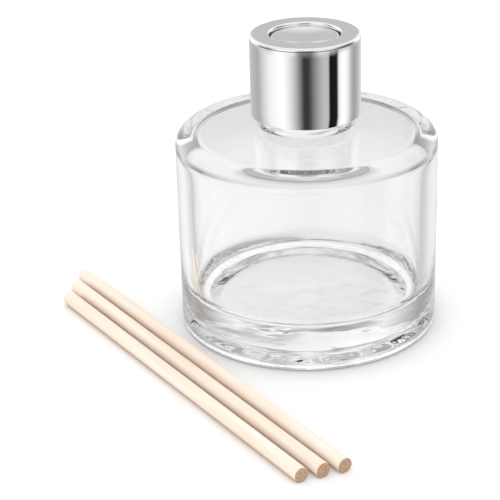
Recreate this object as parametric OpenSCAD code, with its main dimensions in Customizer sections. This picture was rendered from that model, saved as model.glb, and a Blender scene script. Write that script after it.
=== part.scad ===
// Reed diffuser: a thick-walled round glass bottle, a screw-on metal collar with a threaded
// plastic liner, a stopper with a dished metal cap, and loose wooden reeds lying beside it.
// Millimetres. +Z is up; the origin is the centre of the bottle's foot, on the surface it stands on.

/* [Bottle body] */
// Outside diameter of the body
body_d = 76.6; // [66:0.2:96]
// Height of the shoulder's crest above the table
shoulder_h = 60.6; // [50:0.2:80]
// Thickness of the side wall
wall = 4.6; // [3:0.1:6]
// Thickness of glass over the cavity, at the shoulder
shoulder_wall = 4.4; // [3:0.1:6]
// Thickness of the solid base, from the table to the cavity's floor
base_thickness = 11.6; // [8:0.1:16]
// Rounding of the outer shoulder
shoulder_round = 4.6; // [3:0.1:6]
// Rounding of the foot's outer edge
foot_round = 1.8; // [1:0.1:3]
// Rounding between the cavity's wall and floor
heel_round = 4; // [2:0.1:6]
// Rounding between the cavity's wall and roof
roof_round = 3.4; // [2:0.1:5]
// Width of the flat foot ring
foot_ring = 4.6; // [3:0.1:7]
// Height of the hollow under the base
punt_h = 1.5; // [0.8:0.1:3]
// Width of the slope from the foot ring up to the hollow's flat ceiling
punt_slope = 6.8; // [2:0.1:12]
// Rise of the cavity's floor at its middle
floor_rise = 1.2; // [0.5:0.1:2]
// Width of the level ring around the floor's rise
floor_level = 1; // [0.5:0.1:3]

/* [Neck] */
// Rise of the sloping top, from the shoulder's crest to the neck
top_rise = 1.6; // [1:0.1:3]
// Diameter of the neck's bore
bore_d = 16; // [13:0.1:20]
// Height of the neck above the sloping top
neck_h = 23.3; // [22:0.1:30]
// Fillet where the top runs into the neck
neck_fillet = 2.2; // [1.5:0.1:3]
// Rounding of the lip's edges
lip_round = 0.6; // [0.4:0.05:0.9]
// How far the ring under the thread stands out
neck_ring = 0.9; // [0.6:0.05:1]
// Height of the ring under the thread, at its foot
neck_ring_h = 3.6; // [2.4:0.1:4]
// Flare where the bore opens into the cavity
bore_flare = 2.4; // [1.5:0.1:3]

/* [Screw thread] */
// Rise of the thread in one turn
thread_pitch = 4; // [3.6:0.1:5]
// Number of turns on the neck and in the liner
thread_turns = 1.5; // [1:0.25:1.75]
// How far the neck's thread stands out
thread_depth = 1.1; // [0.8:0.05:1.3]
// Width of a thread at its root
thread_root_w = 1.5; // [1.2:0.05:1.6]
// Width of a thread at its crest
thread_crest_w = 0.8; // [0.5:0.05:1]
// Distance from the lip down to the end of the neck's thread
thread_drop = 4.2; // [3.5:0.1:6]

/* [Collar] */
// Thickness of the collar's metal
shell_wall = 0.6; // [0.4:0.05:0.9]
// Rounding of the collar's top edge
collar_round = 1; // [0.9:0.05:1.5]
// Gap between the collar's lower edge and the sloping glass
collar_gap = 2.8; // [1.2:0.1:4]
// Depth of the rolled lip around the opening
lip_depth = 1.7; // [1.4:0.1:2]
// Rounding of the rolled lip
lip_roll = 0.7; // [0.65:0.05:1]

/* [Liner] */
// Wall of the liner between its ribs and its bore
liner_wall = 1; // [0.7:0.05:1.6]
// How far the gripping ribs stand out
rib_depth = 0.3; // [0.2:0.05:0.6]
// Thickness of the liner's top flange
liner_top = 1.6; // [1.2:0.1:2.2]
// Set-back of the liner inside the collar's lower edge
liner_setback = 0.9; // [0.5:0.1:2]
// Height of the ring around the liner's lower edge
liner_foot_h = 1; // [0.6:0.1:2]
// Number of gripping ribs on the outside of the liner
rib_count = 24; // [12:2:36]
// Width of one gripping rib
rib_w = 1.2; // [0.8:0.1:1.6]

/* [Seal washer] */
// Thickness of the seal washer
seal_thickness = 1.2; // [0.8:0.1:1.6]
// Radial width of the seal washer
seal_width = 1.65; // [1.2:0.05:2.4]

/* [Stopper] */
// How far the stopper's flange reaches out over the lip
flange_seat = 1.8; // [1.4:0.1:2.6]
// Thickness of the stopper's flange
flange_t = 0.8; // [0.6:0.1:1]
// Depth of the cap's rim below the collar's top
cap_recess = 0.9; // [0.6:0.1:1.2]
// Thickness of the dished cap's metal
cap_wall = 0.4; // [0.3:0.05:0.5]
// Depth of the dish in the cap
dish_depth = 1.1; // [0.6:0.05:1.2]
// Rounding of the cap's rim
cap_round = 0.5; // [0.45:0.05:0.7]
// Length of the plug below the lip
plug_length = 12; // [9:0.5:14]
// Wall of the hollow plug
plug_wall = 1.2; // [0.9:0.1:1.6]
// How far each sealing fin stands out from the plug
fin_depth = 0.5; // [0.3:0.05:0.7]
// Height of one sealing fin
fin_h = 1.2; // [0.9:0.1:1.6]
// Number of sealing fins
fin_count = 3; // [2:1:4]

/* [Reeds] */
// Diameter of a reed
reed_d = 4.2; // [3:0.1:5]
// Length of the middle reed
reed_length = 135; // [110:1:170]
// Difference in length from one reed to the next
reed_step = 7.5; // [0:0.5:10]
// Chamfer on a reed's ends
reed_chamfer = 0.25; // [0.1:0.05:0.5]
// Free space between two reeds
reed_gap = 1.65; // [0.5:0.05:4]
// Free space between the bottle and the nearest reed
reed_clear = 4.6; // [2:0.1:20]
// Direction of the reeds, seen from above
reed_angle = 124.6; // [90:0.1:160]
// How far the nearest reed reaches past the middle of the bottle
reed_reach = 81.2; // [60:0.1:100]
// How much less far each further reed reaches
reed_stagger = 1.35; // [0:0.05:4]

/* [Fits] */
// Free space between the two threads, at the crests
thread_clear = 0.4; // [0.3:0.05:0.5]
// Free space around the fins in the bore
fin_clear = 0.05; // [0.02:0.01:0.1]
// Free space around the stopper in the collar's opening
stopper_clear = 0.4; // [0.3:0.05:0.6]
// Free space between the rolled lip and the liner
lip_clear = 0.15; // [0.1:0.05:0.3]

/* [Hidden] */
$fn = 96;
arc_steps = 8;
thread_steps = 32;
thread_fade = 0.12;
thread_end = 0.1;
thread_bury = 0.5;
cut = 1;

// outwards from the bore: the stopper on the lip, the collar's opening, the seal and the neck
bore_r = bore_d / 2;
cap_r = bore_r + flange_seat;
opening_r = cap_r + stopper_clear;
liner_hole_r = opening_r + shell_wall + lip_clear;
neck_r = liner_hole_r + seal_width;
// outwards from the neck: its thread, the liner and the collar
crest_r = neck_r + thread_depth;
liner_crest_r = neck_r + thread_clear;
liner_bore_r = crest_r + thread_clear;
groove_r = liner_bore_r + liner_wall;
liner_r = groove_r + rib_depth;
collar_r = liner_r + shell_wall;
// the bottle's outside
body_r = body_d / 2;
neck_z = shoulder_h + top_rise;
lip_z = neck_z + neck_h;
// the bottle's inside
cavity_r = body_r - wall;
roof_z = shoulder_h - shoulder_wall;
mouth_z = roof_z + top_rise;
// the seal, the liner and the collar, upwards from the lip
seal_top_z = lip_z + seal_thickness;
liner_top_z = seal_top_z + liner_top;
collar_top_z = liner_top_z + shell_wall;
collar_bottom_z = neck_z + collar_gap;
liner_bottom_z = collar_bottom_z + liner_setback;
// both threads follow one helix, half a pitch apart
neck_thread_z = lip_z - thread_drop - thread_turns * thread_pitch;
liner_thread_z = neck_thread_z + thread_pitch / 2;
neck_ring_z = (neck_z + neck_fillet + neck_thread_z - thread_root_w - neck_ring_h) / 2;
// the stopper
cap_top_z = collar_top_z - cap_recess;
flange_z = lip_z + flange_t;
head_r = cap_r - cap_wall;
dish_rim_r = cap_r - 2 * cap_round;
dish_r = (pow(dish_rim_r, 2) + pow(dish_depth, 2)) / (2 * dish_depth);
fin_r = bore_r - fin_clear;
plug_r = fin_r - fin_depth;
plug_bottom_z = lip_z - plug_length;
fin_pitch = (plug_length - 2 * fin_h) / fin_count;
// the reeds
reed_r = reed_d / 2;
reed_pitch = reed_d + reed_gap;

// points along a round stretch, from one angle to another
function arc(centre, r, from, to, steps = arc_steps) =
    [for (i = [0:steps]) let (a = from + (to - from) * i / steps)
        [centre[0] + r * cos(a), centre[1] + r * sin(a)]];

// height of a shallow dome above its rim, at a distance from the axis
function dome(rim_r, rise, r) = rise * (1 - pow(r / rim_r, 2));

// points across a shallow dome, from the axis outwards
function dome_points(rim_r, rise, z) =
    [for (i = [0:arc_steps]) let (r = rim_r * i / arc_steps) [r, z + dome(rim_r, rise, r)]];

// the points of a list in the opposite order
function reversed(list) = [for (i = [len(list) - 1:-1:0]) list[i]];

// how much of a thread's depth is there, fading in and out at its ends
function fade(t) = max(thread_end, min(1, t / thread_fade, (1 - t) / thread_fade));

// one cross-section of a thread: root below, crest below, crest above, root above
function thread_section(root_r, tip_r, t) =
    let (r = root_r + (tip_r - root_r) * fade(t),
         half_root = thread_root_w / 2, half_tip = thread_crest_w / 2)
    [[root_r, -half_root], [r, -half_tip], [r, half_tip], [root_r, half_root]];

// a right-hand thread swept along a helix, on the side of its root that tip_r is on
module thread(root_r, tip_r, z) {
    steps = ceil(thread_steps * thread_turns);
    points = [for (i = [0:steps]) let (t = i / steps, a = 360 * thread_turns * t)
        for (p = thread_section(root_r, tip_r, t))
            [p[0] * cos(a), p[0] * sin(a), z + p[1] + thread_pitch * thread_turns * t]];
    outward = tip_r > root_r;
    sides = [for (i = [0:steps - 1]) for (k = [0:3])
        let (a = 4 * i + k, b = 4 * i + (k + 1) % 4, c = b + 4, d = a + 4)
        each [[a, b, c], [a, c, d]]];
    last = 4 * steps;
    ends = [[0, 2, 1], [0, 3, 2], [last, last + 1, last + 2], [last, last + 2, last + 3]];
    faces = concat(sides, ends);
    polyhedron(points, outward ? faces : [for (f = faces) reversed(f)]);
}

// a ring between two radii
module ring(outer_r, inner_r, z, h) {
    translate([0, 0, z]) difference() {
        cylinder(r = outer_r, h = h);
        translate([0, 0, -cut]) cylinder(r = inner_r, h = h + 2 * cut);
    }
}

// outline of the glass, right of the axis: up the outside, over the lip and down the inside
module bottle_outline() {
    foot_r = body_r - foot_round;
    punt_r = foot_r - foot_ring;
    fillet_z = neck_z + neck_fillet;
    slope_r = neck_r + neck_fillet;
    polygon(concat(
        [[0, punt_h], [punt_r - punt_slope, punt_h], [punt_r, 0]],
        arc([foot_r, foot_round], foot_round, -90, 0),
        arc([body_r - shoulder_round, shoulder_h - shoulder_round], shoulder_round, 0, 90),
        arc([slope_r, fillet_z], neck_fillet, 270, 180),
        [[neck_r, neck_ring_z], [neck_r + neck_ring, neck_ring_z + neck_ring_h / 3],
         [neck_r + neck_ring, neck_ring_z + neck_ring_h * 2 / 3], [neck_r, neck_ring_z + neck_ring_h]],
        arc([neck_r - lip_round, lip_z - lip_round], lip_round, 0, 90),
        arc([bore_r + lip_round, lip_z - lip_round], lip_round, 90, 180),
        arc([bore_r + bore_flare, mouth_z + bore_flare], bore_flare, 180, 270),
        arc([cavity_r - roof_round, roof_z - roof_round], roof_round, 90, 0),
        arc([cavity_r - heel_round, base_thickness + heel_round], heel_round, 0, -90),
        reversed(dome_points(cavity_r - heel_round - floor_level, floor_rise, base_thickness))
    ));
}

module glass_bottle() {
    color([0.85, 0.92, 0.92, 0.35]) union() {
        rotate_extrude() bottle_outline();
        thread(neck_r - thread_bury, crest_r, neck_thread_z);
    }
}

// drawn metal collar, open below, with a rolled lip around the opening in its top
module collar_shell() {
    r = collar_r;
    hem = shell_wall / 2;
    inner_round = collar_round - shell_wall;
    roll_in = lip_roll - shell_wall;
    roll_r = opening_r + lip_roll;
    lip_bottom = collar_top_z - lip_depth;
    color([0.8, 0.8, 0.82]) rotate_extrude() polygon(concat(
        arc([r - hem, collar_bottom_z + hem], hem, -180, 0),
        arc([r - collar_round, collar_top_z - collar_round], collar_round, 0, 90),
        arc([roll_r, collar_top_z - lip_roll], lip_roll, 90, 180),
        arc([opening_r + hem, lip_bottom + hem], hem, 180, 360),
        arc([roll_r, collar_top_z - lip_roll], roll_in, 180, 90),
        arc([r - collar_round, collar_top_z - collar_round], inner_round, 90, 0)
    ));
}

// threaded plastic liner pressed into the collar, gripping it with upright ribs
module collar_liner() {
    side_h = liner_top_z - liner_bottom_z;
    skirt_h = seal_top_z - liner_bottom_z;
    color([0.93, 0.93, 0.9]) union() {
        ring(groove_r, liner_bore_r, liner_bottom_z, skirt_h);
        ring(liner_r - (collar_round - shell_wall), liner_hole_r, seal_top_z, liner_top);
        ring(liner_r, liner_bore_r, liner_bottom_z, liner_foot_h);
        intersection() {
            ring(liner_r, groove_r - thread_bury, liner_bottom_z, side_h - collar_round);
            for (i = [0:rib_count - 1])
                rotate([0, 0, 360 * i / rib_count])
                    translate([0, -rib_w / 2, liner_bottom_z])
                        cube([liner_r + cut, rib_w, side_h]);
        }
        thread(liner_bore_r + thread_bury, liner_crest_r, liner_thread_z);
    }
}

// soft ring squeezed between the liner's flange and the glass lip
module seal_washer() {
    color([0.97, 0.97, 0.95]) ring(neck_r, liner_hole_r, lip_z, seal_thickness);
}

// outline of the dished face, from the axis outwards, lowered by an offset
function dish_points(offset) =
    [for (i = [0:arc_steps]) let (r = dish_rim_r * i / arc_steps)
        [r, cap_top_z - offset + dish_r - dish_depth - sqrt(dish_r * dish_r - r * r)]];

// dished metal cap with a rounded rim and a skirt around the plug's head
module stopper_cap() {
    rim_z = cap_top_z - cap_round;
    rim_in = cap_round - cap_wall;
    color([0.8, 0.8, 0.82]) rotate_extrude() polygon(concat(
        dish_points(0),
        arc([cap_r - cap_round, rim_z], cap_round, 90, 0),
        [[cap_r, flange_z], [head_r, flange_z]],
        arc([cap_r - cap_round, rim_z], rim_in, 0, 90),
        reversed(dish_points(cap_wall))
    ));
}

// soft hollow plug: a head inside the cap, a flange on the lip and fins in the bore
module stopper_plug() {
    rim_z = cap_top_z - cap_round;
    hollow_r = plug_r - plug_wall;
    color([0.95, 0.95, 0.93]) difference() {
        union() {
            rotate_extrude() polygon(concat(
                [[0, lip_z], [cap_r, lip_z], [cap_r, flange_z], [head_r, flange_z]],
                arc([cap_r - cap_round, rim_z], cap_round - cap_wall, 0, 90),
                reversed(dish_points(cap_wall))
            ));
            rotate_extrude() polygon([
                [0, lip_z + flange_t / 2], [0, plug_bottom_z], [plug_r - plug_wall / 2, plug_bottom_z],
                [plug_r, plug_bottom_z + plug_wall], [plug_r, lip_z + flange_t / 2]
            ]);
            for (i = [0:fin_count - 1])
                translate([0, 0, plug_bottom_z + fin_h + i * fin_pitch]) rotate_extrude() polygon([
                    [hollow_r + plug_wall / 2, 0], [plug_r, 0], [fin_r, fin_h / 3],
                    [fin_r, fin_h * 2 / 3], [plug_r, fin_h], [hollow_r + plug_wall / 2, fin_h]
                ]);
        }
        translate([0, 0, plug_bottom_z - cut])
            cylinder(r = hollow_r, h = plug_length + cut - plug_wall);
    }
}

// one reed on the table; row 0 is nearest the bottle
module reed(row) {
    length = reed_length + (1 - row) * reed_step;
    away = body_r + reed_clear + reed_r + row * reed_pitch;
    reach = reed_reach - row * reed_stagger;
    color([0.95, 0.87, 0.76]) rotate([0, 0, reed_angle])
        translate([-reach, away, reed_r]) rotate([0, 90, 0]) {
            cylinder(r1 = reed_r - reed_chamfer, r2 = reed_r, h = reed_chamfer);
            translate([0, 0, reed_chamfer]) cylinder(r = reed_r, h = length - 2 * reed_chamfer);
            translate([0, 0, length - reed_chamfer])
                cylinder(r1 = reed_r, r2 = reed_r - reed_chamfer, h = reed_chamfer);
        }
}

module reed_inner() { reed(0); }
module reed_middle() { reed(1); }
module reed_outer() { reed(2); }

glass_bottle();
collar_shell();
collar_liner();
seal_washer();
stopper_cap();
stopper_plug();
reed_inner();
reed_middle();
reed_outer();
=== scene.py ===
"""Looks for a reed diffuser: a thick glass bottle, a polished screw collar, a dished stopper and loose reeds.

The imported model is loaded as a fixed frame. Each sub-assembly is a class that takes its place from the
frame, models its pieces with mesh operators, dresses them in procedural finishes and hands them to the
moving bodies.
"""

import logging
import math
from dataclasses import dataclass, field
from enum import Enum
from typing import Callable, ClassVar, Iterable, Sequence

import bpy
from mathutils import Matrix, Vector

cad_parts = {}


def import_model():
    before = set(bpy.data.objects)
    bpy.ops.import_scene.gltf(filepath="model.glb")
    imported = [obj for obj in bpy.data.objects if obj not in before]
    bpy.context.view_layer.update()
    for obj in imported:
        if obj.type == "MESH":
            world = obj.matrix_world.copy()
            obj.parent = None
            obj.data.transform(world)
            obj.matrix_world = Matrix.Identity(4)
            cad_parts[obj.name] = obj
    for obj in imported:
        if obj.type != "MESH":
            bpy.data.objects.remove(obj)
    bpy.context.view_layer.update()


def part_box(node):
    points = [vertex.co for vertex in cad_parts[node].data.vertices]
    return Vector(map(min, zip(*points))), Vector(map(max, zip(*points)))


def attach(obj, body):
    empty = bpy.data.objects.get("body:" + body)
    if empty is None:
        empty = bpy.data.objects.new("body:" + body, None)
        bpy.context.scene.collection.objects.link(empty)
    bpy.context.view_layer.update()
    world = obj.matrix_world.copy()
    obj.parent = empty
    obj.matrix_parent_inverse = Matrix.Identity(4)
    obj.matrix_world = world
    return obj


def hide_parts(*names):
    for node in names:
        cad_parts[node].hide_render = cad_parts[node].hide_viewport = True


MM = 0.001
MERGE = 1e-7
SPIN_MERGE = 5e-7
IN_LINE = 0.99999
FULL_TURN = math.tau
WHITE = (1.0, 1.0, 1.0, 1.0)

Point = tuple[float, float]
Colour = tuple[float, float, float, float]

log = logging.getLogger("reed_diffuser")


class Body(Enum):
    """The moving bodies that the turned pieces ride on."""

    BOTTLE = "bottle"
    COLLAR = "collar"
    STOPPER = "stopper"


class ReedRow(Enum):
    """The reeds, from the one nearest the bottle outwards. Each value is the end of its names."""

    INNER = "inner"
    MIDDLE = "middle"
    OUTER = "outer"


# ---------------------------------------------------------------- outlines


def arc(centre: Point, radius: float, start: float, stop: float, steps: int = 10) -> list[Point]:
    """Points along a round stretch of an outline.

    Args:
        centre: Centre of the arc, as distance from the axis and height.
        radius: Radius of the arc.
        start: Angle of the first point, in degrees.
        stop: Angle of the last point, in degrees.
        steps: Number of stretches between the points.

    Returns:
        The points, first to last.
    """
    angles = [math.radians(start + (stop - start) * i / steps) for i in range(steps + 1)]
    return [(centre[0] + radius * math.cos(a), centre[1] + radius * math.sin(a)) for a in angles]


def line(first: Point, last: Point, steps: int) -> list[Point]:
    """Evenly spaced points between two points, both left out.

    Args:
        first: Where the line starts.
        last: Where the line ends.
        steps: Number of stretches between the two.

    Returns:
        The points in between.
    """
    return [
        (first[0] + (last[0] - first[0]) * i / steps, first[1] + (last[1] - first[1]) * i / steps)
        for i in range(1, steps)
    ]


# ---------------------------------------------------------------- modelling


def deselect_all() -> None:
    """Clears the selection, so that an operator acts only on the next piece."""
    bpy.ops.object.select_all(action="DESELECT")


def make_active(piece: bpy.types.Object) -> None:
    """Selects one piece alone and makes it the active one.

    Args:
        piece: The piece to work on next.
    """
    deselect_all()
    piece.select_set(True)
    bpy.context.view_layer.objects.active = piece


def edit(piece: bpy.types.Object, mode: str = "VERT") -> None:
    """Opens one piece in edit mode, with everything selected.

    Args:
        piece: The piece to edit.
        mode: What is selected: VERT, EDGE or FACE.
    """
    make_active(piece)
    bpy.ops.object.mode_set(mode="EDIT")
    bpy.ops.mesh.select_mode(type=mode)
    bpy.ops.mesh.select_all(action="SELECT")


def leave_edit() -> None:
    """Closes edit mode."""
    bpy.ops.object.mode_set(mode="OBJECT")


def select_vertices(piece: bpy.types.Object, wanted: Callable[[Vector], bool]) -> None:
    """Selects vertices by place, from edit mode, and goes back to edit mode.

    Args:
        piece: The piece being edited.
        wanted: Tells from a vertex's place whether it is selected.
    """
    bpy.ops.mesh.select_all(action="DESELECT")
    leave_edit()
    for vertex in piece.data.vertices:
        vertex.select = wanted(vertex.co)
    bpy.ops.object.mode_set(mode="EDIT")


def select_faces(piece: bpy.types.Object, wanted: Callable[[Vector, Vector], bool]) -> None:
    """Selects faces by centre and normal, from edit mode, and goes back to edit mode.

    Args:
        piece: The piece being edited.
        wanted: Tells from a face's centre and normal whether it is selected.
    """
    bpy.ops.mesh.select_mode(type="FACE")
    bpy.ops.mesh.select_all(action="DESELECT")
    leave_edit()
    for face in piece.data.polygons:
        face.select = wanted(face.center, face.normal)
    bpy.ops.object.mode_set(mode="EDIT")


def apply_modifiers(piece: bpy.types.Object) -> None:
    """Applies every modifier of a piece, first to last.

    Args:
        piece: The piece whose modifiers are applied.
    """
    make_active(piece)
    for name in [modifier.name for modifier in piece.modifiers]:
        bpy.ops.object.modifier_apply(modifier=name)


def smooth(piece: bpy.types.Object, degrees: float = 40.0) -> None:
    """Shades a piece smooth, leaving edges sharper than an angle crisp."""
    make_active(piece)
    bpy.ops.object.shade_smooth_by_angle(angle=math.radians(degrees))


def draw_outline(name: str, points: Sequence[Point], closed: bool) -> bpy.types.Object:
    """Draws an outline as a chain of edges in the XZ plane, one extrusion at a time.

    Args:
        name: Name of the new piece.
        points: The outline, as distance from the axis and height, in metres.
        closed: Whether the last point joins the first.

    Returns:
        The new piece, holding only the chain.
    """
    deselect_all()
    bpy.ops.mesh.primitive_plane_add(size=MM, location=(points[0][0], 0.0, points[0][1]))
    piece = bpy.context.active_object
    piece.name = name
    piece.data.name = name
    bpy.ops.object.transform_apply(location=True, rotation=True, scale=True)
    edit(piece)
    bpy.ops.mesh.merge(type="CENTER")
    for (r0, z0), (r1, z1) in zip(points, points[1:]):
        move = {"value": (r1 - r0, 0.0, z1 - z0)}
        bpy.ops.mesh.extrude_region_move(TRANSFORM_OT_translate=move)
    if closed:
        ends = (points[0], points[-1])
        select_vertices(piece, lambda co: any(math.dist((co.x, co.z), end) < MERGE for end in ends))
        bpy.ops.mesh.edge_face_add()
    leave_edit()
    return piece


def spin_outline(
    name: str, points: Sequence[Point], closed: bool = False, steps: int = 256
) -> bpy.types.Object:
    """Turns an outline about the Z axis into a closed solid of revolution.

    Args:
        name: Name of the new piece.
        points: The outline, as distance from the axis and height, in metres. An open one starts and ends
            on the axis.
        closed: Whether the outline is a loop clear of the axis.
        steps: Number of facets around.

    Returns:
        The new piece, smooth-shaded, with its normals outwards.
    """
    piece = draw_outline(name, points, closed)
    edit(piece)
    bpy.ops.mesh.spin(steps=steps, angle=FULL_TURN, center=(0, 0, 0), axis=(0, 0, 1))
    bpy.ops.mesh.select_all(action="SELECT")
    bpy.ops.mesh.remove_doubles(threshold=SPIN_MERGE)
    bpy.ops.mesh.normals_make_consistent(inside=False)
    leave_edit()
    smooth(piece)
    return piece


@dataclass(frozen=True)
class ScrewThread:
    """A right-hand moulded thread that fades in and out at its ends.

    The crest sinks by the share sunk at the very ends, and a vertex within reach of a section belongs to it.
    """

    pitch: float = 4.0 * MM
    turns: float = 1.5
    root_w: float = 1.5 * MM
    crest_w: float = 0.8 * MM
    bury: float = 0.5 * MM
    steps: int = 64
    fade: int = 9
    sunk: float = 0.95
    reach: float = 2e-6

    def ridge(self, name: str, root_r: float, crest_r: float, z: float) -> bpy.types.Object:
        """Models the ridge by carrying its section along a helix.

        Args:
            name: Name of the new piece.
            root_r: Radius of the wall that it stands on.
            crest_r: Radius of its crest.
            z: Height of its middle where it starts.

        Returns:
            The ridge, a closed solid that reaches a little into the wall.
        """
        side = math.copysign(1.0, crest_r - root_r)
        root, crest = self.root_w / 2, self.crest_w / 2
        base = root_r - side * self.bury
        section = [(base, z - root), (root_r, z - root), (crest_r, z - crest), (crest_r, z + crest),
                   (root_r, z + root), (base, z + root)]
        piece = draw_outline(name, section, closed=True)
        screw = piece.modifiers.new("screw", "SCREW")
        screw.angle = FULL_TURN * self.turns
        screw.screw_offset = self.pitch * self.turns
        screw.steps = screw.render_steps = round(self.steps * self.turns)
        screw.use_merge_vertices = False
        apply_modifiers(piece)
        edit(piece)
        bpy.ops.mesh.fill_holes(sides=0)
        self._fade(piece, z, (crest_r - root_r) * self.sunk)
        bpy.ops.mesh.select_all(action="SELECT")
        bpy.ops.mesh.remove_doubles(threshold=MERGE)
        bpy.ops.mesh.normals_make_consistent(inside=False)
        leave_edit()
        return piece

    def _fade(self, piece: bpy.types.Object, z: float, depth: float) -> None:
        """Sinks the crest back towards the root over the last sections at both ends.

        Args:
            piece: The ridge, in edit mode.
            z: Height of the ridge's middle where it starts.
            depth: How far the very last section sinks.
        """
        total = round(self.steps * self.turns)
        crest = self.crest_w / 2
        for i in range(self.fade):
            drop = depth * (1 - i / self.fade)
            for at in (i, total - i):
                angle = FULL_TURN * self.turns * at / total
                out = Vector((math.cos(angle), math.sin(angle), 0.0))
                level = z + self.pitch * self.turns * at / total
                select_vertices(
                    piece,
                    lambda co: abs(abs(co.z - level) - crest) < self.reach
                    and Vector((co.x, co.y, 0.0)).normalized().dot(out) > IN_LINE,
                )
                bpy.ops.transform.translate(value=-out * drop)


def weld(piece: bpy.types.Object, other: bpy.types.Object) -> None:
    """Joins a second solid to a piece and removes the second one.

    Args:
        piece: The piece that is kept.
        other: The solid that becomes part of it.
    """
    boolean = piece.modifiers.new("weld", "BOOLEAN")
    boolean.operation = "UNION"
    boolean.solver = "EXACT"
    boolean.object = other
    apply_modifiers(piece)
    bpy.data.objects.remove(other, do_unlink=True)


def dress(piece: bpy.types.Object, material: bpy.types.Material) -> None:
    """Gives a whole piece one material."""
    piece.data.materials.clear()
    piece.data.materials.append(material)


def place(piece: bpy.types.Object, body: str, slot: str, replaced: Iterable[str] = ()) -> None:
    """Hands a finished piece to the frame.

    Args:
        piece: The finished piece.
        body: Name of the moving body that it rides on.
        slot: Not used.
        replaced: CAD nodes that it stands for.
    """
    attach(piece, body)
    names = list(replaced)
    if names:
        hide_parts(*names)
    log.info("%s: %d faces, rides on %s", piece.name, len(piece.data.polygons), body)


# ---------------------------------------------------------------- finishes


@dataclass
class NodeBoard:
    """A node tree being laid out, with short calls to add and link its nodes.

    A Mix node has sockets for each kind of data, and the three numbers are the places of its colour sockets.
    """

    COLOUR_A: ClassVar[int] = 6
    COLOUR_B: ClassVar[int] = 7
    COLOUR_OUT: ClassVar[int] = 2

    tree: bpy.types.NodeTree

    @classmethod
    def for_material(cls, name: str) -> tuple["NodeBoard", bpy.types.Material]:
        """Starts an empty material.

        Args:
            name: Name of the material.

        Returns:
            The board and the material.
        """
        material = bpy.data.materials.new(name)
        material.use_nodes = True
        material.node_tree.nodes.clear()
        return cls(material.node_tree), material

    def add(self, kind: str, settings: dict | None = None, **inputs: object) -> bpy.types.Node:
        """Adds a node.

        Args:
            kind: The node's type.
            settings: Properties of the node.
            **inputs: Values or output sockets for its inputs, with spaces written as underscores.

        Returns:
            The new node.
        """
        node = self.tree.nodes.new(kind)
        for key, value in (settings or {}).items():
            setattr(node, key, value)
        for key, value in inputs.items():
            self.feed(node.inputs[key.replace("_", " ")], value)
        return node

    def feed(self, socket: bpy.types.NodeSocket, value: object) -> None:
        """Sets a socket to a value, or links an output to it.

        Args:
            socket: The input to feed.
            value: A plain value, or another node's output.
        """
        if isinstance(value, bpy.types.NodeSocket):
            self.tree.links.new(value, socket)
        else:
            socket.default_value = value

    def math(self, operation: str, *values: object) -> bpy.types.NodeSocket:
        """Adds a Math node.

        Args:
            operation: What the node does with its values.
            *values: Up to three values or output sockets, in order.

        Returns:
            The node's output.
        """
        node = self.tree.nodes.new("ShaderNodeMath")
        node.operation = operation
        for socket, value in zip(node.inputs, values):
            self.feed(socket, value)
        return node.outputs[0]

    def mix(self, factor: object, first: object, second: object) -> bpy.types.NodeSocket:
        """Adds a Mix node for colours.

        Args:
            factor: Share of the second colour.
            first: The colour at 0.
            second: The colour at 1.

        Returns:
            The mixed colour.
        """
        node = self.tree.nodes.new("ShaderNodeMix")
        node.data_type = "RGBA"
        self.feed(node.inputs["Factor"], factor)
        self.feed(node.inputs[self.COLOUR_A], first)
        self.feed(node.inputs[self.COLOUR_B], second)
        return node.outputs[self.COLOUR_OUT]

    def ramp(self, factor: object, stops: Sequence[tuple[float, Colour]]) -> bpy.types.NodeSocket:
        """Adds a colour ramp.

        Args:
            factor: What the ramp reads.
            stops: Place and colour of each stop.

        Returns:
            The ramp's colour output.
        """
        node = self.tree.nodes.new("ShaderNodeValToRGB")
        elements = node.color_ramp.elements
        while len(elements) > 1:
            elements.remove(elements[-1])
        elements[0].position, elements[0].color = stops[0]
        for position, colour in stops[1:]:
            elements.new(position).color = colour
        self.feed(node.inputs[0], factor)
        return node.outputs[0]

    def noise(
        self, vector: object, scale: float, detail: float = 3.0, roughness: float = 0.5
    ) -> bpy.types.NodeSocket:
        """Adds a noise texture and returns its factor."""
        node = self.add("ShaderNodeTexNoise", Vector=vector, Scale=scale, Detail=detail, Roughness=roughness)
        return node.outputs[0]

    def bump(self, height: object, distance: float, strength: float = 1.0) -> bpy.types.NodeSocket:
        """Adds a bump node and returns its normal."""
        node = self.add("ShaderNodeBump", Height=height, Distance=distance, Strength=strength)
        return node.outputs[0]

    def fade(self, value: object, start: float, stop: float) -> bpy.types.NodeSocket:
        """Adds a Map Range node that goes from 0 to 1 as a value goes from start to stop."""
        return self.add("ShaderNodeMapRange", Value=value, From_Min=start, From_Max=stop).outputs[0]

    def place(self) -> bpy.types.NodeSocket:
        """Adds the piece's own coordinates and returns them."""
        return self.add("ShaderNodeTexCoord").outputs["Object"]

    def level(self) -> bpy.types.NodeSocket:
        """Adds the height above the table, from the piece's own coordinates, and returns it."""
        return self.add("ShaderNodeSeparateXYZ", Vector=self.place()).outputs[2]

    def finish(self, shader: bpy.types.Node) -> None:
        """Links a shader to the material's output."""
        output = self.add("ShaderNodeOutputMaterial")
        self.tree.links.new(shader.outputs[0], output.inputs["Surface"])


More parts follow.
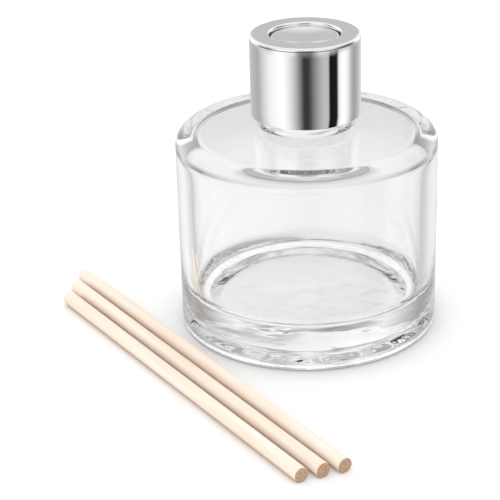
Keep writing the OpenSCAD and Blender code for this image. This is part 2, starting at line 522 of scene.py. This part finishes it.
@dataclass(frozen=True)
class ClearGlass:
    """Fire-polished clear glass with the waviness that moulding leaves, strongest in the foot."""

    tint: Colour = (0.957, 0.958, 0.958, 1.0)
    pass_light: Colour = (0.93, 0.932, 0.932, 1.0)
    pass_foot: Colour = (0.3, 0.3, 0.302, 1.0)
    foot_top: float = 6.0 * MM
    ior: float = 1.5
    foot_fade: float = 0.6
    wave_scale: float = 75.0
    wave_height: float = 0.04 * MM
    ripple_stretch: tuple[float, float, float] = (150.0, 150.0, 110.0)
    ripple_height: float = 0.22 * MM
    ripple_top: float = 7.5 * MM
    ripple_fade: float = 0.4

    def _height(self, board: NodeBoard) -> bpy.types.NodeSocket:
        """Lays out the waves all over the surface and the ripples in the foot.

        Args:
            board: The glass's board.

        Returns:
            The surface's height, in metres.
        """
        place = board.place()
        wave = board.noise(place, self.wave_scale, detail=0.5)
        stretched = board.add("ShaderNodeMapping", Vector=place, Scale=self.ripple_stretch)
        ripple = board.noise(stretched.outputs[0], 1.0, detail=1.0)
        fade = board.fade(board.level(), self.ripple_top, self.ripple_top * self.ripple_fade)
        low = board.math("MULTIPLY", board.math("MULTIPLY", ripple, fade), self.ripple_height)
        return board.math("ADD", board.math("MULTIPLY", wave, self.wave_height), low)

    def material(self) -> bpy.types.Material:
        """Builds the node tree.

        Light on its way to a matt surface passes straight through, as does what the metal mirrors.

        Returns:
            The material.
        """
        board, material = NodeBoard.for_material("clear_glass")
        glass = board.add(
            "ShaderNodeBsdfPrincipled",
            Base_Color=self.tint,
            Roughness=0.0,
            IOR=self.ior,
            Transmission_Weight=1.0,
            Normal=board.bump(self._height(board), 1.0),
        )
        foot = board.fade(board.level(), self.foot_top, self.foot_top * self.foot_fade)
        rays = board.add("ShaderNodeLightPath").outputs
        outside = board.math("LESS_THAN", rays["Transmission Depth"], 0.5)
        mirrored = board.math("MULTIPLY", rays["Is Glossy Ray"], outside)
        passed = board.mix(foot, self.pass_light, self.pass_foot)
        clear = board.add("ShaderNodeBsdfTransparent", Color=board.mix(mirrored, passed, WHITE))
        matt = board.math("MAXIMUM", rays["Is Shadow Ray"], rays["Is Diffuse Ray"])
        mixed = board.tree.nodes.new("ShaderNodeMixShader")
        board.feed(mixed.inputs[0], board.math("MAXIMUM", matt, mirrored))
        board.feed(mixed.inputs[1], glass.outputs[0])
        board.feed(mixed.inputs[2], clear.outputs[0])
        board.finish(mixed)
        return material


@dataclass(frozen=True)
class PolishedMetal:
    """Mirror-polished silver metal with a haze of fine turning marks."""

    colour: Colour = (0.9, 0.9, 0.915, 1.0)
    roughness: float = 0.035
    haze: float = 0.03
    mark_scale: float = 2600.0
    mark_stretch: tuple[float, float, float] = (0.02, 0.02, 1.0)
    mark_height: float = 0.0006 * MM
    cloud_scale: float = 140.0

    def material(self) -> bpy.types.Material:
        """Builds the node tree.

        Returns:
            The material.
        """
        board, material = NodeBoard.for_material("polished_aluminium")
        place = board.place()
        stretched = board.add("ShaderNodeMapping", Vector=place, Scale=self.mark_stretch)
        marks = board.noise(stretched.outputs[0], self.mark_scale, detail=2.0)
        cloud = board.noise(place, self.cloud_scale)
        least = self.roughness - self.haze / 2
        shader = board.add(
            "ShaderNodeBsdfPrincipled",
            Base_Color=self.colour,
            Metallic=1.0,
            Roughness=board.math("MULTIPLY_ADD", cloud, self.haze, least),
            Normal=board.bump(marks, self.mark_height),
        )
        board.finish(shader)
        return material


@dataclass(frozen=True)
class MouldedPlastic:
    """Milky moulded plastic with a faint grain."""

    name: str
    colour: Colour
    roughness: float
    glow: float = 0.15
    grain_scale: float = 900.0
    grain_height: float = 0.01 * MM
    cloud_scale: float = 60.0
    cloud_shade: float = 0.93
    depth: float = 1.0 * MM

    def material(self) -> bpy.types.Material:
        """Builds the node tree.

        Returns:
            The material.
        """
        board, material = NodeBoard.for_material(self.name)
        place = board.place()
        grain = board.noise(place, self.grain_scale, detail=4.0)
        cloud = board.noise(place, self.cloud_scale, detail=2.0)
        darker = (*(share * self.cloud_shade for share in self.colour[:3]), 1.0)
        shader = board.add(
            "ShaderNodeBsdfPrincipled",
            Base_Color=board.mix(cloud, self.colour, darker),
            Roughness=self.roughness,
            Subsurface_Weight=self.glow,
            Subsurface_Radius=(1.0, 1.0, 1.0),
            Subsurface_Scale=self.depth,
            Normal=board.bump(grain, self.grain_height),
        )
        board.finish(shader)
        return material


@dataclass(frozen=True)
class PaleWood:
    """Sanded pale wood, with its grain along the reed, pores across the cut ends and painted shade low on the
    side.
    """

    angle: float
    light: Colour = (0.93, 0.83, 0.73, 1.0)
    dark: Colour = (0.84, 0.69, 0.55, 1.0)
    # painted shade: the brown that the side turns to low down, standing in for the shade between the reeds
    # and the table
    under: Colour = (0.52, 0.29, 0.14, 1.0)
    shade_band_top: float = 2.2 * MM
    cut_light: Colour = (0.5, 0.34, 0.23, 1.0)
    cut_dark: Colour = (0.3, 0.17, 0.09, 1.0)
    side_roughness: float = 0.62
    cut_roughness: float = 0.8
    fibre_scale: float = 2400.0
    fibre_squeeze: float = 0.02
    fibre_height: float = 0.03 * MM
    band_scale: float = 420.0
    band_squeeze: float = 0.06
    grain_stops: Point = (0.12, 0.42)
    pore_scale: float = 3200.0
    pore_height: float = 0.05 * MM
    pore_stops: Point = (0.08, 0.3)
    patch_scale: float = 1500.0
    bump_strength: float = 0.6

    def _along(self, board: NodeBoard, squeeze: float) -> bpy.types.NodeSocket:
        """Turns the coordinates to the reed and squeezes them along it, so that a texture runs lengthwise.

        Args:
            board: The wood's board.
            squeeze: Factor on the coordinate along the reed.

        Returns:
            The new coordinates.
        """
        turn = (0.0, 0.0, -math.radians(self.angle))
        turned = board.add("ShaderNodeMapping", Vector=board.place(), Rotation=turn)
        squeezed = board.add("ShaderNodeMapping", Vector=turned.outputs[0], Scale=(squeeze, 1.0, 1.0))
        return squeezed.outputs[0]

    def side(self) -> bpy.types.Material:
        """Builds the node tree for the reed's side, with painted shade: browner and darker low down, where it
        faces the table.

        Returns:
            The material.
        """
        board, material = NodeBoard.for_material("reed_side")
        fine, wide = self._along(board, self.fibre_squeeze), self._along(board, self.band_squeeze)
        fibre = board.noise(fine, self.fibre_scale, detail=4.0, roughness=0.6)
        band = board.noise(wide, self.band_scale, detail=2.0)
        blend = board.math("MULTIPLY", fibre, band)
        grain = board.ramp(blend, list(zip(self.grain_stops, (self.light, self.dark))))
        # painted shade mask: full at the table, fading out at the top of the shaded band
        painted_shade = board.fade(board.level(), self.shade_band_top, 0.0)
        shader = board.add(
            "ShaderNodeBsdfPrincipled",
            Base_Color=board.mix(painted_shade, grain, self.under),
            Roughness=self.side_roughness,
            Normal=board.bump(fibre, self.fibre_height, self.bump_strength),
        )
        board.finish(shader)
        return material

    def cut(self) -> bpy.types.Material:
        """Builds the node tree for the reed's cut ends.

        Returns:
            The material.
        """
        board, material = NodeBoard.for_material("reed_cut")
        place = board.place()
        pores = board.add("ShaderNodeTexVoronoi", Vector=place, Scale=self.pore_scale).outputs[0]
        blend = board.math("MULTIPLY", pores, board.noise(place, self.patch_scale))
        shader = board.add(
            "ShaderNodeBsdfPrincipled",
            Base_Color=board.ramp(blend, list(zip(self.pore_stops, (self.cut_dark, self.cut_light)))),
            Roughness=self.cut_roughness,
            Normal=board.bump(pores, self.pore_height, self.bump_strength),
        )
        board.finish(shader)
        return material


# ---------------------------------------------------------------- the object


@dataclass
class Bottle:
    """The glass bottle, turned from one outline that runs up its outside and down its inside."""

    glass: ClearGlass
    wall: float = 4.6 * MM
    shoulder_wall: float = 4.4 * MM
    base_thickness: float = 11.6 * MM
    shoulder_round: float = 4.6 * MM
    foot_round: float = 1.8 * MM
    foot_ring: float = 4.6 * MM
    heel_round: float = 4.0 * MM
    roof_round: float = 3.4 * MM
    top_rise: float = 1.6 * MM
    neck_h: float = 23.3 * MM
    neck_fillet: float = 2.2 * MM
    neck_r: float = 12.6 * MM
    bore_r: float = 8.0 * MM
    lip_round: float = 0.6 * MM
    bore_flare: float = 2.4 * MM
    punt_h: float = 1.5 * MM
    punt_slope: float = 6.8 * MM
    floor_rise: float = 1.2 * MM
    thread: ScrewThread = ScrewThread()
    thread_depth: float = 1.1 * MM
    thread_drop: float = 4.2 * MM
    ring_z: float = 67.3 * MM
    ring_h: float = 3.6 * MM
    ring_out: float = 0.9 * MM
    ring_fullness: float = 0.8
    floor_inset: float = 1.0 * MM
    high: Vector = field(init=False)

    def __post_init__(self) -> None:
        """Takes the bottle's highest corner from the frame: the body's radius and the lip's height."""
        self.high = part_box("glass_bottle")[1]

    def _dome(self, rim: float, rise: float, z: float, steps: int = 12) -> list[Point]:
        """Points of a shallow dome, from the axis to its rim."""
        return [(rim * i / steps, z + rise * (1 - (i / steps) ** 2)) for i in range(steps + 1)]

    def _ring(self, steps: int = 12) -> list[Point]:
        """Points of the rounded ring under the thread, from its lower edge to its upper edge.

        Args:
            steps: Number of stretches between the points.

        Returns:
            The points, lowest first.
        """
        swells = [math.sin(math.pi * i / steps) ** self.ring_fullness for i in range(steps + 1)]
        return [
            (self.neck_r + self.ring_out * swell, self.ring_z + self.ring_h * i / steps)
            for i, swell in enumerate(swells)
        ]

    def outline(self) -> list[Point]:
        """Draws the glass from the axis under the foot, up the outside and down the inside to the axis.

        Returns:
            The outline's points.
        """
        body_r = self.high.x
        lip_z = self.high.z
        neck_z = lip_z - self.neck_h
        shoulder_z = neck_z - self.top_rise
        foot_r = body_r - self.foot_round
        slope_r = self.neck_r + self.neck_fillet
        crest = (body_r - self.shoulder_round, shoulder_z)
        roof_z = shoulder_z - self.shoulder_wall
        mouth_z = roof_z + self.top_rise
        cavity_r = body_r - self.wall
        floor_z = self.base_thickness
        punt_r = foot_r - self.foot_ring
        ceiling = (punt_r - self.punt_slope, self.punt_h)
        return [
            (0.0, self.punt_h),
            *line((0.0, self.punt_h), ceiling, 8),
            ceiling,
            *line(ceiling, (punt_r, 0.0), 4),
            (punt_r, 0.0),
            *arc((foot_r, self.foot_round), self.foot_round, -90, 0),
            *line((body_r, self.foot_round), (body_r, shoulder_z - self.shoulder_round), 12),
            *arc((crest[0], shoulder_z - self.shoulder_round), self.shoulder_round, 0, 90, 14),
            *line(crest, (slope_r, neck_z), 6),
            *arc((slope_r, neck_z + self.neck_fillet), self.neck_fillet, 270, 180),
            *self._ring(),
            *arc((self.neck_r - self.lip_round, lip_z - self.lip_round), self.lip_round, 0, 90, 6),
            *arc((self.bore_r + self.lip_round, lip_z - self.lip_round), self.lip_round, 90, 180, 6),
            *line((self.bore_r, lip_z - self.lip_round), (self.bore_r, mouth_z + self.bore_flare), 8),
            *arc((self.bore_r + self.bore_flare, mouth_z + self.bore_flare), self.bore_flare, 180, 270),
            *line((self.bore_r + self.bore_flare, mouth_z), (cavity_r - self.roof_round, roof_z), 6),
            *arc((cavity_r - self.roof_round, roof_z - self.roof_round), self.roof_round, 90, 0),
            *line((cavity_r, roof_z - self.roof_round), (cavity_r, floor_z + self.heel_round), 12),
            *arc((cavity_r - self.heel_round, floor_z + self.heel_round), self.heel_round, 0, -90),
            *reversed(self._dome(cavity_r - self.heel_round - self.floor_inset, self.floor_rise, floor_z)),
        ]

    def build(self) -> None:
        """Models the bottle and hands it to its body."""
        piece = spin_outline("bottle_glass", self.outline())
        start = self.high.z - self.thread_drop - self.thread.turns * self.thread.pitch
        crest_r = self.neck_r + self.thread_depth
        weld(piece, self.thread.ridge("neck_thread", self.neck_r, crest_r, start))
        smooth(piece)
        dress(piece, self.glass.material())
        place(piece, Body.BOTTLE.value, "clear_glass", ["glass_bottle"])


@dataclass
class Collar:
    """The drawn metal collar around the neck, with the liner and the washer that it hides."""

    metal: bpy.types.Material
    liner: MouldedPlastic = MouldedPlastic("liner_plastic", (0.82, 0.82, 0.79, 1.0), 0.45)
    washer: MouldedPlastic = MouldedPlastic("seal_foam", (0.86, 0.86, 0.83, 1.0), 0.7)
    wall: float = 0.6 * MM
    top_round: float = 1.0 * MM
    opening_r: float = 10.2 * MM
    lip_depth: float = 1.7 * MM
    lip_roll: float = 0.7 * MM
    low: Vector = field(init=False)
    high: Vector = field(init=False)

    def __post_init__(self) -> None:
        """Takes the collar's box from the frame."""
        self.low, self.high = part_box("collar_shell")

    def outline(self) -> list[Point]:
        """Draws the metal from its hem, up the outside, over the rolled opening and down the inside.

        Returns:
            The points of the closed outline.
        """
        r = self.high.x
        top, bottom = self.high.z, self.low.z
        hem = self.wall / 2
        corner = (r - self.top_round, top - self.top_round)
        roll = (self.opening_r + self.lip_roll, top - self.lip_roll)
        lip_z = top - self.lip_depth
        return [
            *arc((r - hem, bottom + hem), hem, -180, 0, 8),
            *line((r, bottom + hem), (r, top - self.top_round), 8),
            *arc(corner, self.top_round, 0, 90),
            *line((corner[0], top), (roll[0], top), 4),
            *arc(roll, self.lip_roll, 90, 180, 8),
            *arc((self.opening_r + hem, lip_z + hem), hem, 180, 360, 8),
            *arc(roll, self.lip_roll - self.wall, 180, 90, 8),
            *line((roll[0], top - self.wall), (corner[0], top - self.wall), 4),
            *arc(corner, self.top_round - self.wall, 90, 0),
            *line((r - self.wall, corner[1]), (r - self.wall, bottom + hem), 8),
        ]

    def build(self) -> None:
        """Models the collar, hands it to its body and dresses the CAD nodes inside it."""
        piece = spin_outline("collar_metal", self.outline(), closed=True)
        dress(piece, self.metal)
        place(piece, Body.COLLAR.value, "polished_aluminium", ["collar_shell"])
        dress(bpy.data.objects["collar_liner"], self.liner.material())
        dress(bpy.data.objects["seal_washer"], self.washer.material())


@dataclass
class Stopper:
    """The dished metal cap and the hollow plug that it covers."""

    metal: bpy.types.Material
    plug: MouldedPlastic = MouldedPlastic("plug_plastic", (0.86, 0.86, 0.84, 1.0), 0.35)
    wall: float = 0.4 * MM
    rim_round: float = 0.5 * MM
    dish_depth: float = 1.1 * MM
    low: Vector = field(init=False)
    high: Vector = field(init=False)

    def __post_init__(self) -> None:
        """Takes the cap's box from the frame."""
        self.low, self.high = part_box("stopper_cap")

    def _dish(self, offset: float, steps: int = 24) -> list[Point]:
        """Points across the dish, from the axis to its rim.

        Args:
            offset: How far the dish is lowered, which is the wall on its underside.
            steps: Number of stretches between the points.

        Returns:
            The points, axis first.
        """
        rim = self.high.x - 2 * self.rim_round
        radius = (rim**2 + self.dish_depth**2) / (2 * self.dish_depth)
        low = self.high.z - offset - self.dish_depth
        return [
            (rim * i / steps, low + radius - math.sqrt(radius**2 - (rim * i / steps) ** 2))
            for i in range(steps + 1)
        ]

    def cap_outline(self) -> list[Point]:
        """Draws the cap from the axis on its face to the axis under it.

        Returns:
            The outline's points.
        """
        r = self.high.x
        rim = (r - self.rim_round, self.high.z - self.rim_round)
        return [
            *self._dish(0.0),
            *arc(rim, self.rim_round, 90, 0),
            (r, self.low.z),
            (r - self.wall, self.low.z),
            *arc(rim, self.rim_round - self.wall, 0, 90, 4),
            *reversed(self._dish(self.wall)),
        ]

    def build(self) -> None:
        """Models the cap, hands it to its body and dresses the plug under it."""
        piece = spin_outline("stopper_face", self.cap_outline(), steps=192)
        dress(piece, self.metal)
        place(piece, Body.STOPPER.value, "polished_aluminium", ["stopper_cap"])
        dress(bpy.data.objects["stopper_plug"], self.plug.material())


@dataclass
class Reed:
    """One loose wooden reed lying on the table."""

    row: ReedRow
    side: bpy.types.Material
    cut: bpy.types.Material
    angle: float = 124.6
    chamfer: float = 0.3 * MM
    facets: int = 64
    square_on: float = 0.9
    turned_to: float = 0.3
    low: Vector = field(init=False)
    high: Vector = field(init=False)

    def __post_init__(self) -> None:
        """Takes the reed's box from the frame."""
        self.low, self.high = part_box(f"reed_{self.row.value}")

    def build(self) -> None:
        """Models the reed and hands it to its body.

        A face whose normal is square on to the reed's axis is an end, and is bevelled. A face that is only
        turned to the axis is part of the bevelled end, and shows cut wood.
        """
        size = self.high - self.low
        radius = size.z / 2
        turn = math.radians(self.angle)
        length = (size.x - size.z * abs(math.sin(turn))) / abs(math.cos(turn))
        deselect_all()
        bpy.ops.mesh.primitive_cylinder_add(
            vertices=self.facets, radius=radius, depth=length, location=(self.low + self.high) / 2,
            rotation=(0.0, math.radians(90), turn),
        )
        piece = bpy.context.active_object
        piece.name = f"wood_{self.row.value}"
        bpy.ops.object.transform_apply(location=True, rotation=True, scale=True)
        axis = Vector((math.cos(turn), math.sin(turn), 0.0))
        piece.data.materials.append(self.side)
        piece.data.materials.append(self.cut)
        edit(piece, "FACE")
        select_faces(piece, lambda centre, normal: abs(normal.dot(axis)) > self.square_on)
        bpy.ops.mesh.bevel(offset=self.chamfer, segments=3, affect="EDGES")
        select_faces(piece, lambda centre, normal: abs(normal.dot(axis)) > self.turned_to)
        piece.active_material_index = 1
        bpy.ops.object.material_slot_assign()
        leave_edit()
        smooth(piece)
        place(piece, f"{self.row.value}_reed", "pale_wood", [f"reed_{self.row.value}"])


# ---------------------------------------------------------------- the studio


@dataclass
class Studio:
    """A pale table, soft light from all round, and the camera.

    A row of panels is a list of stops around the object: the direction in degrees, to the right from the
    camera's side, and the brightness there. Heights of panels, such as lift, are sines of the angle above the
    table, first where one row of panels ends and then where the next one starts.
    """

    distance: float = 0.4602
    height: float = 0.2297
    yaw: float = -2.163
    pitch: float = 24.36
    roll: float = -1.649
    lens: float = 120.77
    sensor: float = 36.0
    table: float = 6.0
    bounces: int = 24
    table_facets: int = 96
    patch: float = 0.0364
    # painted light: the patch under the bottle glows, standing in for the light that the glass gathers under
    # its foot
    patch_glow: float = 0.7
    paint: Colour = (0.9, 0.9, 0.9, 1.0)
    plain: Colour = (1.25, 1.25, 1.25, 1.0)
    ceiling: Colour = (0.95, 0.95, 0.95, 1.0)
    flag: Colour = (0.03, 0.03, 0.03, 1.0)
    flag_rise: tuple[float, float, float] = (-0.2, 0.05, 0.02)
    flag_side: tuple[float, float, float] = (-0.2, 2.0, 0.2)
    lift: Point = (-0.28, -0.22)
    overhead: Point = (0.5, 0.7)
    steep: Point = (-0.54, -0.66)
    wall_foot: Point = (-0.11, 0.02)
    wall_top: Point = (0.36, 0.5)
    low_panels: tuple[Point, ...] = (
        (-180, 0.7), (-142, 0.54), (-114, 0.46), (-94, 0.77), (-77, 1.0), (-48, 1.15), (-35, 0.92),
        (-22, 0.57), (-10, 0.21), (-4, 0.055), (3, 0.04), (9, 0.075), (20, 0.28), (33, 0.5), (42, 0.58),
        (48, 0.52), (51, 0.01), (68, 0.015), (73, 0.92), (83, 1.15), (92, 1.06), (100, 0.85),
        (110, 0.49), (122, 0.39), (136, 0.53), (158, 0.76), (180, 0.7),
    )
    near_panels: tuple[Point, ...] = (
        (-180, 0.95), (-140, 0.95), (-118, 0.5), (-97, 0.95), (-60, 0.5), (0, 0.8), (60, 0.5),
        (97, 0.9), (125, 0.5), (168, 0.45), (180, 0.95),
    )
    sweep_panels: tuple[Point, ...] = (
        (-180, 1.02), (-173, 1.02), (-165, 1.1), (-150, 1.1), (-141, 0.85), (-129, 0.58), (-121, 0.75),
        (-114, 0.95), (-78, 1.0), (-50, 0.9), (0, 1.0), (50, 0.9), (76, 1.0), (97, 0.85), (112, 0.95),
        (126, 0.64), (138, 0.68), (150, 0.95), (165, 1.0), (180, 1.02),
    )
    wall_panels: tuple[Point, ...] = (
        (-180, 0.45), (-173, 0.2), (-164, 0.4), (-154, 0.75), (-140, 0.42), (-118, 0.33), (-98, 0.45),
        (-70, 0.15), (-35, 0.7), (0, 0.12), (35, 0.7), (70, 0.15), (98, 0.45), (118, 0.27), (140, 0.33),
        (154, 0.75), (164, 0.4), (173, 0.2), (180, 0.45),
    )
    box_panels: tuple[Point, ...] = (
        (-180, 1.05), (-168, 0.5), (-155, 1.05), (-128, 0.35), (-95, 1.1), (-60, 0.3), (-30, 1.1),
        (0, 0.2), (30, 1.1), (60, 0.3), (95, 1.1), (128, 0.35), (155, 1.05), (168, 0.5), (180, 1.05),
    )
    high_panels: tuple[Point, ...] = (
        (-180, 0.58), (-172, 0.6), (-162, 1.0), (-130, 1.15), (-80, 0.4), (-60, 1.1), (-25, 1.0),
        (-12, 0.3), (12, 0.25), (30, 0.9), (60, 0.7), (80, 0.25), (110, 0.3), (130, 1.1), (162, 1.0),
        (172, 0.6), (180, 0.58),
    )

    def camera(self) -> None:
        """Places the camera and makes it the scene's own."""
        data = bpy.data.cameras.new("camera")
        data.lens = self.lens
        data.sensor_width = self.sensor
        data.clip_start = 0.01
        data.clip_end = 50.0
        camera = bpy.data.objects.new("camera", data)
        bpy.context.scene.collection.objects.link(camera)
        yaw, pitch, roll = (math.radians(a) for a in (self.yaw, self.pitch, self.roll))
        forward = Vector((math.sin(yaw) * math.cos(pitch), math.cos(yaw) * math.cos(pitch), -math.sin(pitch)))
        right = Vector((math.cos(yaw), -math.sin(yaw), 0.0))
        up = right.cross(forward)
        across = right * math.cos(roll) + up * math.sin(roll)
        upward = up * math.cos(roll) - right * math.sin(roll)
        turn = Matrix((across, upward, -forward)).transposed()
        camera.matrix_world = Matrix.Translation((0.0, -self.distance, self.height)) @ turn.to_4x4()
        bpy.context.scene.camera = camera

    def _paint(self, name: str, glow: float) -> bpy.types.Material:
        """Builds the table's matt white paint, with painted light where it glows.

        Args:
            name: Name of the material.
            glow: Light of its own, which stands in for the light that the glass gathers under its foot.

        Returns:
            The material.
        """
        board, material = NodeBoard.for_material(name)
        shader = board.add("ShaderNodeBsdfPrincipled", Base_Color=self.paint, Roughness=1.0)
        shader.inputs["Specular IOR Level"].default_value = 0.0
        shader.inputs["Emission Color"].default_value = WHITE
        shader.inputs["Emission Strength"].default_value = glow
        board.finish(shader)
        return material

    def floor(self) -> None:
        """Lays the table: a round patch under the object, which glows as painted light, and the rest of the
        table around it.
        """
        deselect_all()
        bpy.ops.mesh.primitive_circle_add(vertices=self.table_facets, radius=self.patch, fill_type="NGON")
        patch = bpy.context.active_object
        patch.name = "table_middle"
        deselect_all()
        bpy.ops.mesh.primitive_circle_add(vertices=self.table_facets, radius=self.patch, fill_type="NOTHING")
        rest = bpy.context.active_object
        rest.name = "table_rest"
        edit(rest, "EDGE")
        bpy.ops.mesh.extrude_region_move()
        bpy.ops.transform.resize(value=(self.table / self.patch,) * 3, center_override=(0.0, 0.0, 0.0))
        bpy.ops.mesh.select_all(action="SELECT")
        bpy.ops.mesh.normals_make_consistent(inside=False)
        leave_edit()
        rest.visible_transmission = False
        for piece, glow in ((patch, self.patch_glow), (rest, 0.0)):
            dress(piece, self._paint(piece.name, glow))
            piece.visible_glossy = False

    def _around(self, board: NodeBoard, turn: object, panels: Sequence[Point]) -> bpy.types.NodeSocket:
        """Lays one row of panels out around the object.

        Args:
            board: The world's board.
            turn: Direction around the object, from 0 to 1, with the camera's side at 0.5.
            panels: The row's stops.

        Returns:
            The brightness as a colour.
        """
        return board.ramp(turn, [(0.5 + side / 360, (level, level, level, 1.0)) for side, level in panels])

    def _band(
        self, board: NodeBoard, value: object, low: float, high: float, soft: float
    ) -> bpy.types.NodeSocket:
        """Masks the stretch between two limits, with soft edges.

        Args:
            board: The world's board.
            value: What is masked.
            low: Lower limit.
            high: Upper limit.
            soft: Width of each edge, outside the limits.

        Returns:
            The mask, 1 between the limits.
        """
        rise = board.fade(value, low - soft, low)
        fall = board.fade(value, high + soft, high)
        return board.math("MULTIPLY", rise, fall)

    def _behind_glass(self, board: NodeBoard, turn: object, rise: object) -> bpy.types.NodeSocket:
        """Lays out what shows through the glass: a sweep, a grey wall above it and soft boxes overhead.

        Args:
            board: The world's board.
            turn: Direction around the object, from 0 to 1.
            rise: Sine of the direction's height above the table.

        Returns:
            The brightness as a colour.
        """
        sweep = self._around(board, turn, self.sweep_panels)
        near = self._around(board, turn, self.near_panels)
        wall = self._around(board, turn, self.wall_panels)
        boxes = self._around(board, turn, self.box_panels)
        ground = board.mix(board.fade(rise, *self.steep), sweep, near)
        standing = board.mix(board.fade(rise, *self.wall_foot), ground, wall)
        return board.mix(board.fade(rise, *self.wall_top), standing, boxes)

    def _mirrored(self, board: NodeBoard, turn: object, rise: object, toward: object) -> bpy.types.NodeSocket:
        """Lays out what the metal mirrors: two rows of panels, a pale ceiling and a dark flag by the camera.

        Args:
            board: The world's board.
            turn: Direction around the object, from 0 to 1.
            rise: Sine of the direction's height above the table.
            toward: How far the direction points to the camera's side, from -1 to 1.

        Returns:
            The brightness as a colour.
        """
        low = self._around(board, turn, self.low_panels)
        high = self._around(board, turn, self.high_panels)
        above = board.mix(board.fade(rise, *self.overhead), high, self.ceiling)
        panels = board.mix(board.fade(rise, *self.lift), low, above)
        flag = self._band(board, rise, *self.flag_rise)
        side = self._band(board, toward, *self.flag_side)
        return board.mix(board.math("MULTIPLY", flag, side), panels, self.flag)

    def light(self) -> None:
        """Lights the scene from all round: plain white for what is matt, and panels for what shines."""
        world = bpy.data.worlds.new("studio")
        bpy.context.scene.world = world
        world.use_nodes = True
        world.node_tree.nodes.clear()
        board = NodeBoard(world.node_tree)
        way = board.add("ShaderNodeSeparateXYZ", Vector=board.add("ShaderNodeTexCoord").outputs["Generated"])
        toward = board.math("MULTIPLY", way.outputs[1], -1.0)
        around = board.math("ARCTAN2", way.outputs[0], toward)
        turn = board.math("MULTIPLY_ADD", around, 1 / FULL_TURN, 0.5)
        rise = way.outputs[2]
        mirrored = self._mirrored(board, turn, rise, toward)
        through = self._behind_glass(board, turn, rise)
        rays = board.add("ShaderNodeLightPath").outputs
        shiny = board.mix(rays["Is Glossy Ray"], self.plain, mirrored)
        colour = board.mix(rays["Is Transmission Ray"], shiny, through)
        shader = board.add("ShaderNodeBackground", Color=colour)
        output = board.add("ShaderNodeOutputWorld")
        board.tree.links.new(shader.outputs[0], output.inputs["Surface"])

    def build(self) -> None:
        """Sets up the camera, the table and the light."""
        self.camera()
        self.floor()
        self.light()
        scene = bpy.context.scene
        scene.view_settings.view_transform = "Standard"
        scene.cycles.max_bounces = self.bounces
        scene.cycles.glossy_bounces = self.bounces
        scene.cycles.transmission_bounces = self.bounces
        scene.cycles.transparent_max_bounces = self.bounces
        log.info("studio: camera, table and light")


def main() -> None:
    """Builds the whole scene around the frame, in order."""
    logging.basicConfig(level=logging.INFO, format="%(name)s: %(message)s")
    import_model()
    Studio().build()
    metal = PolishedMetal().material()
    Bottle(ClearGlass()).build()
    Collar(metal).build()
    Stopper(metal).build()
    wood = PaleWood(Reed.angle)
    side, cut = wood.side(), wood.cut()
    for row in ReedRow:
        Reed(row, side, cut).build()


if __name__ == "__main__":
    main()
